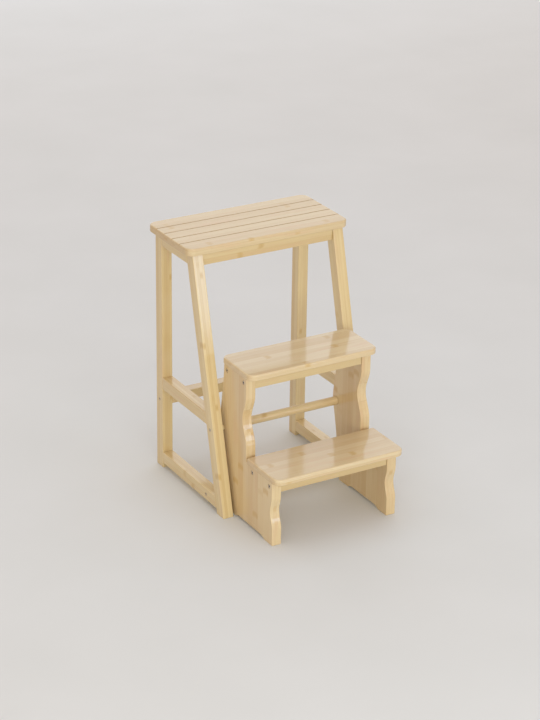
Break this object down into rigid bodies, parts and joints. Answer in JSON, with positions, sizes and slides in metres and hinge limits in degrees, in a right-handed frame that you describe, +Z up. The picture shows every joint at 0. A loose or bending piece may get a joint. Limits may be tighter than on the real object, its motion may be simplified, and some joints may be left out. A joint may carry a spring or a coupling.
{
  "type": "step ladder",
  "caption": "Folding wooden step ladder: a slatted-look seat on two side frames, with a two-step unit that swings on a dowel and stows under the seat.",
  "frame": {"origin": "on the floor under the middle of the opened ladder", "axes": "+Z up; -Y is the front, where a person steps up; +X is the width, to the right of someone who faces the front"},
  "size_m": [0.413, 0.522, 0.6],
  "materials": {
    "seat_wood": "satin clear lacquer over pale bamboo, grain along the width",
    "tread_wood": "satin clear lacquer over pale bamboo, grain along the width",
    "frame_wood": "satin clear lacquer over bamboo, grain along each piece",
    "panel_wood": "satin clear lacquer over laminated bamboo, grain upright",
    "dowel_wood": "satin clear lacquer over turned bamboo",
    "pin_wood": "bare wood, hidden in the joints",
    "screw_steel": "dull grey zinc plated steel"
  },
  "bodies": {
    "frame": {"left_front_apron_screw": "screw_steel", "left_front_leg": "frame_wood", "left_lower_cross_screw": "screw_steel", "left_lower_rail": "frame_wood", "left_lower_rail_front_pin": "pin_wood", "left_lower_rail_rear_pin": "pin_wood", "left_middle_rail": "frame_wood", "left_middle_rail_front_pin": "pin_wood", "left_middle_rail_rear_pin": "pin_wood", "left_pivot_screw": "screw_steel", "left_rear_apron_screw": "screw_steel", "left_rear_cross_screw": "screw_steel", "left_rear_leg": "frame_wood", "left_seat_screw": "screw_steel", "left_top_rail": "frame_wood", "left_top_rail_front_pin": "pin_wood", "left_top_rail_rear_pin": "pin_wood", "lower_cross_rail": "frame_wood", "pivot_dowel": "dowel_wood", "rear_cross_rail": "frame_wood", "right_front_apron_screw": "screw_steel", "right_front_leg": "frame_wood", "right_lower_cross_screw": "screw_steel", "right_lower_rail": "frame_wood", "right_lower_rail_front_pin": "pin_wood", "right_lower_rail_rear_pin": "pin_wood", "right_middle_rail": "frame_wood", "right_middle_rail_front_pin": "pin_wood", "right_middle_rail_rear_pin": "pin_wood", "right_pivot_screw": "screw_steel", "right_rear_apron_screw": "screw_steel", "right_rear_cross_screw": "screw_steel", "right_rear_leg": "frame_wood", "right_seat_screw": "screw_steel", "right_top_rail": "frame_wood", "right_top_rail_front_pin": "pin_wood", "right_top_rail_rear_pin": "pin_wood", "seat_board": "seat_wood", "seat_front_apron": "frame_wood", "seat_rear_apron": "frame_wood"},
    "steps": {"left_lower_front_panel_screw": "screw_steel", "left_lower_rear_panel_screw": "screw_steel", "left_lower_tread_screw": "screw_steel", "left_step_panel": "panel_wood", "left_upper_front_panel_screw": "screw_steel", "left_upper_rear_panel_screw": "screw_steel", "left_upper_tread_screw": "screw_steel", "lower_front_rail": "frame_wood", "lower_rear_rail": "frame_wood", "lower_tread": "tread_wood", "right_lower_front_panel_screw": "screw_steel", "right_lower_rear_panel_screw": "screw_steel", "right_lower_tread_screw": "screw_steel", "right_step_panel": "panel_wood", "right_upper_front_panel_screw": "screw_steel", "right_upper_rear_panel_screw": "screw_steel", "right_upper_tread_screw": "screw_steel", "upper_front_rail": "frame_wood", "upper_rear_rail": "frame_wood", "upper_tread": "tread_wood"}
  },
  "joints": [
    {"name": "steps_swing", "type": "hinge", "parent": "frame", "child": "steps", "pos_m": [0, -0.0126, 0.195], "axis": [-1, 0, 0], "range_deg": [0, 167.5]}
  ]
}
